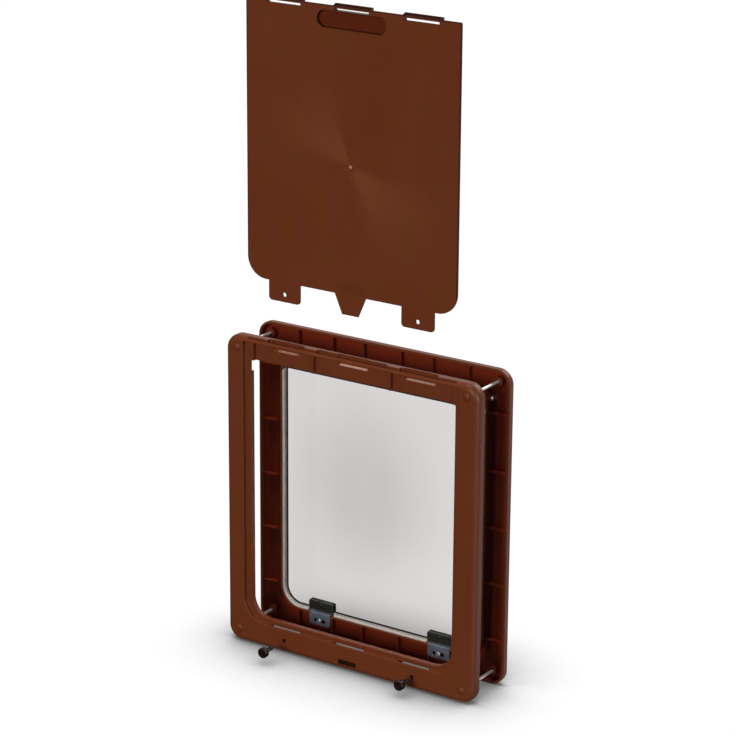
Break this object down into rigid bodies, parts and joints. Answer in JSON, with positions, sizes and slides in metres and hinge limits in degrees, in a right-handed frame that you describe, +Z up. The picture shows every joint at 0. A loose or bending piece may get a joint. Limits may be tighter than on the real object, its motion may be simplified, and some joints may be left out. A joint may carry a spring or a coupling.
{
  "type": "dog door",
  "caption": "Dog door for a house door: two moulded frames clamped on either side of the leaf by long screws, a clear swinging flap with magnets, and a slide-in closing panel.",
  "frame": {"origin": "on the ground under the middle of the layout's bounding box, in the exploded rest layout", "axes": "+Z up, +X to the right across the door seen from the closing panel's side, +Y from the front frame to the rear frame"},
  "size_m": [0.385, 0.1354, 0.8712],
  "materials": {
    "frame_brown": "moulded red-brown plastic with a fine grain and a satin sheen",
    "panel_brown": "moulded red-brown plastic, satin",
    "dark_screw": "black-brown plastic, fluted grip",
    "clear_flap": "clear flexible vinyl, slightly smoked",
    "rail_plastic": "dark extruded plastic",
    "bush_plastic": "natural nylon",
    "bright_steel": "bright plated steel",
    "zinc_plate": "zinc-plated sheet steel",
    "magnet_metal": "sintered, dull",
    "black_plastic": "black plastic",
    "pile": "beige-grey pile",
    "brass_insert": "machined brass"
  },
  "bodies": {
    "frame": {"front_frame": "frame_brown", "rear_frame": "frame_brown", "clamp_screw_top_left": "bright_steel", "clamp_screw_top_right": "bright_steel", "clamp_screw_bottom_left": "bright_steel", "clamp_screw_bottom_right": "bright_steel", "screw_cap_top_left": "frame_brown", "screw_cap_top_right": "frame_brown", "screw_cap_bottom_left": "frame_brown", "screw_cap_bottom_right": "frame_brown", "boss_insert_top_left": "brass_insert", "boss_insert_top_right": "brass_insert", "boss_insert_bottom_left": "brass_insert", "boss_insert_bottom_right": "brass_insert", "thumb_insert_left": "frame_brown", "thumb_insert_right": "frame_brown", "hinge_pin_left": "bright_steel", "hinge_pin_right": "bright_steel", "seal_left": "pile", "seal_right": "pile", "seal_bottom": "pile", "keeper_screw_left": "bright_steel", "keeper_screw_right": "bright_steel"},
    "flap": {"flap_panel": "clear_flap", "hinge_rail": "rail_plastic", "rail_rivets": "bright_steel", "hinge_bush_left": "bush_plastic", "hinge_bush_right": "bush_plastic", "magnet_holder_left": "black_plastic", "magnet_holder_right": "black_plastic", "magnet_left": "magnet_metal", "magnet_right": "magnet_metal"},
    "panel": {"closing_panel": "panel_brown"},
    "thumb_screw_left": {"thumb_screw_left": "dark_screw"},
    "thumb_screw_right": {"thumb_screw_right": "dark_screw"},
    "keeper_left": {"keeper_plate_left": "zinc_plate"},
    "keeper_right": {"keeper_plate_right": "zinc_plate"}
  },
  "joints": [
    {"name": "flap_hinge", "type": "hinge", "parent": "frame", "child": "flap", "pos_m": [0, 0.06137, 0.3844], "axis": [-1, 0, 0], "range_deg": [-85, 85]},
    {"name": "panel_lift", "type": "slide", "parent": "frame", "child": "panel", "axis": [0, 0, 1], "range_m": [-0.4742, 0]},
    {"name": "thumb_screw_left_draw", "type": "slide", "parent": "frame", "child": "thumb_screw_left", "axis": [0, -1, 0], "range_m": [-0.042, 0]},
    {"name": "thumb_screw_right_draw", "type": "slide", "parent": "frame", "child": "thumb_screw_right", "axis": [0, -1, 0], "range_m": [-0.025, 0]},
    {"name": "keeper_left_adjust", "type": "slide", "parent": "frame", "child": "keeper_left", "axis": [1, 0, 0], "range_m": [-0.003, 0.003]},
    {"name": "keeper_right_adjust", "type": "slide", "parent": "frame", "child": "keeper_right", "axis": [1, 0, 0], "range_m": [-0.003, 0.003]}
  ]
}
